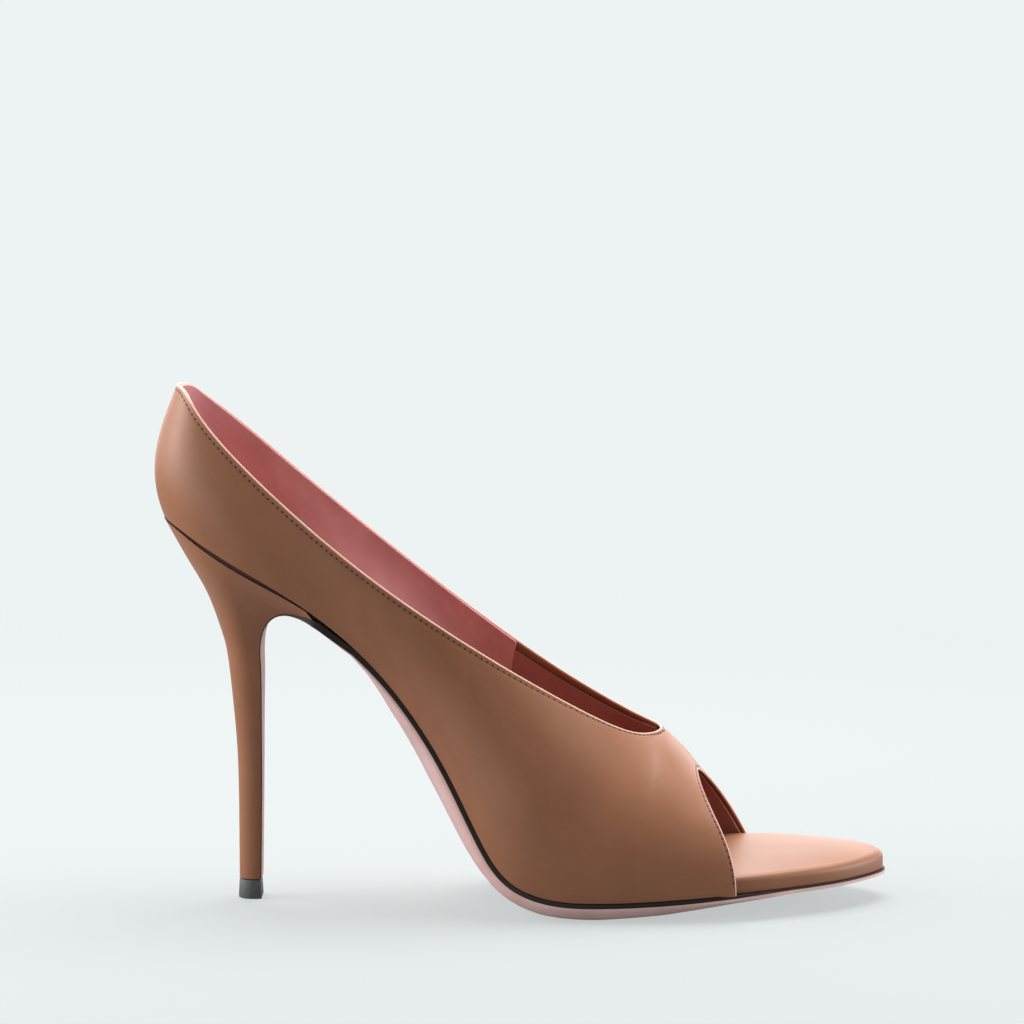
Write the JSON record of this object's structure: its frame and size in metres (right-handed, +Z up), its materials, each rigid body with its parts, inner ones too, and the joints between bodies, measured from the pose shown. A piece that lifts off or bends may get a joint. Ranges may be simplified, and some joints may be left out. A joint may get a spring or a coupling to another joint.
{
  "type": "peep-toe stiletto pump",
  "caption": "Closed-back pump for the right foot with an open toe, a slim high heel, a hollow satin upper, a satin insole and a thin leather sole that runs down the heel's front.",
  "frame": {"origin": "on the floor, under the middle of the shoe's length and width", "axes": "+X from the heel to the toe, +Y to the inner side of the foot, +Z up"},
  "size_m": [0.2132, 0.0774, 0.1508],
  "materials": {
    "upper_satin": "brown satin with a soft sheen",
    "insole_satin": "brown satin with a soft sheen",
    "sole_leather": "smooth pale pink leather with a dark edge",
    "heel_satin": "brown satin over a hard core",
    "lift_rubber": "dark grey, matt"
  },
  "bodies": {
    "root": {"upper": "upper_satin", "insole": "insole_satin", "outsole": "sole_leather", "heel": "heel_satin", "top_lift": "lift_rubber"}
  },
  "joints": []
}
